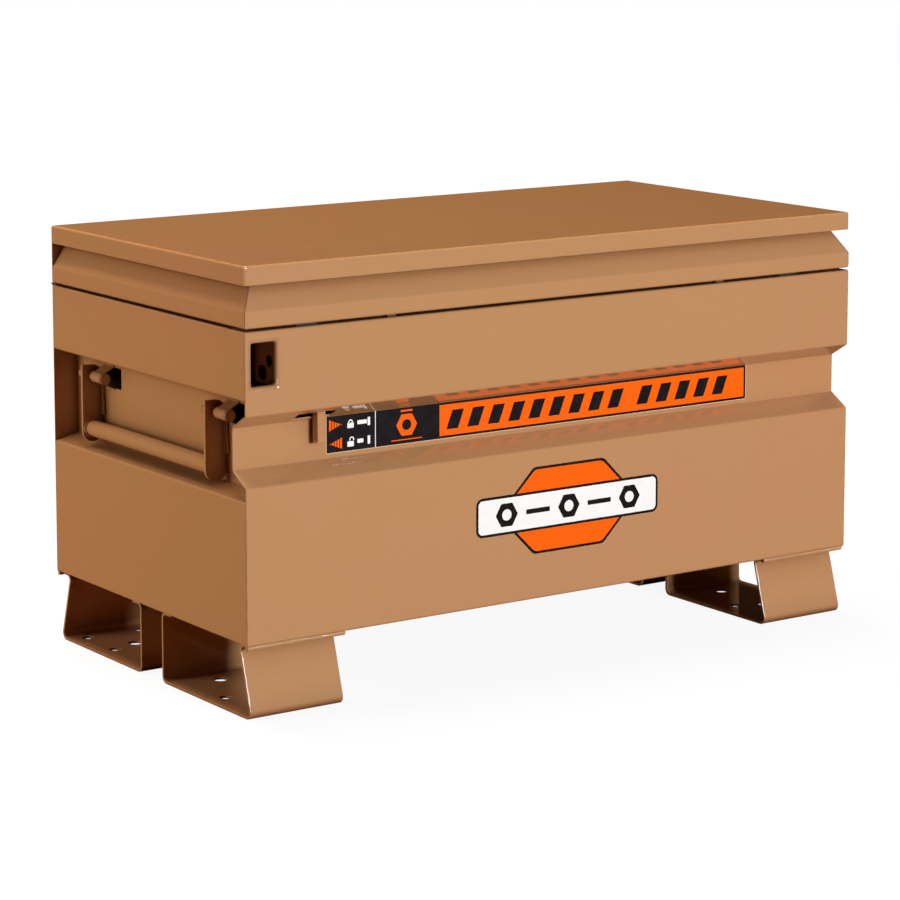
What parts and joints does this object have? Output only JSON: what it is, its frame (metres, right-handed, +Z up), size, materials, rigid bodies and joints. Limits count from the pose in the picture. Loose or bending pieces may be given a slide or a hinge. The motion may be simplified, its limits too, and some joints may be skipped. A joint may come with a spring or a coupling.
{
  "type": "jobsite storage box",
  "caption": "Welded sheet-steel jobsite chest: grooved body and lid on a full-width hinge, sliding latch with recessed lock pocket, drop handles in end recesses, bent skid feet.",
  "frame": {"origin": "on the floor under the middle of the box, hinge barrel included", "axes": "+X along the box to its right end seen from the front, +Y from the front to the hinge, +Z up"},
  "size_m": [0.914, 0.474, 0.5305],
  "materials": {
    "tan_paint": "satin powder coat",
    "bare_steel": "zinc plated",
    "rubber": "matt"
  },
  "bodies": {
    "box": {"front_panel": "tan_paint", "back_panel": "tan_paint", "floor_panel": "tan_paint", "left_end_panel": "tan_paint", "right_end_panel": "tan_paint", "left_rim": "tan_paint", "right_rim": "tan_paint", "left_front_foot": "tan_paint", "left_rear_foot": "tan_paint", "right_front_foot": "tan_paint", "right_rear_foot": "tan_paint", "left_handle_keepers": "tan_paint", "right_handle_keepers": "tan_paint", "lock_pocket": "tan_paint", "lock_plate": "tan_paint", "latch_guide_left": "tan_paint", "latch_guide_middle": "tan_paint", "latch_guide_right": "tan_paint", "hinge_body_leaf": "tan_paint", "hinge_pin": "bare_steel", "lid_bumpers": "rubber", "stay_stud": "bare_steel"},
    "lid": {"lid_top": "tan_paint", "lid_front_rail": "tan_paint", "lid_left_rail": "tan_paint", "lid_right_rail": "tan_paint", "lid_stiffener": "tan_paint", "hinge_lid_leaf": "tan_paint", "left_strike": "tan_paint", "right_strike": "tan_paint", "stay_bracket": "tan_paint", "stay_pin": "bare_steel"},
    "stay": {"stay_arm": "tan_paint"},
    "latch": {"latch_bar": "tan_paint", "latch_flange": "tan_paint", "latch_left_hook": "tan_paint", "latch_right_hook": "tan_paint", "latch_lever": "tan_paint"},
    "left_handle": {"left_handle_front_arm": "tan_paint", "left_handle_rear_arm": "tan_paint", "left_handle_grip": "tan_paint", "left_handle_pivots": "tan_paint"},
    "right_handle": {"right_handle_front_arm": "tan_paint", "right_handle_rear_arm": "tan_paint", "right_handle_grip": "tan_paint", "right_handle_pivots": "tan_paint"}
  },
  "joints": [
    {"name": "lid_hinge", "type": "hinge", "parent": "box", "child": "lid", "pos_m": [0, 0.233, 0.4565], "axis": [-1, 0, 0], "range_deg": [0, 100]},
    {"name": "stay_swing", "type": "hinge", "parent": "lid", "child": "stay", "pos_m": [0.4175, 0.05355, 0.4705], "axis": [1, 0, 0], "range_deg": [0, 50]},
    {"name": "latch_slide", "type": "slide", "parent": "box", "child": "latch", "axis": [1, 0, 0], "range_m": [-0.02, 0.012]},
    {"name": "left_handle_swing", "type": "hinge", "parent": "box", "child": "left_handle", "pos_m": [-0.4398, 0.011, 0.348], "axis": [0, 1, 0], "range_deg": [0, 90]},
    {"name": "right_handle_swing", "type": "hinge", "parent": "box", "child": "right_handle", "pos_m": [0.4398, 0.011, 0.348], "axis": [0, -1, 0], "range_deg": [0, 90]}
  ],
  "couplings": [
    {"joint": "stay_swing", "follows": "lid_hinge", "ratio": 0.5}
  ]
}
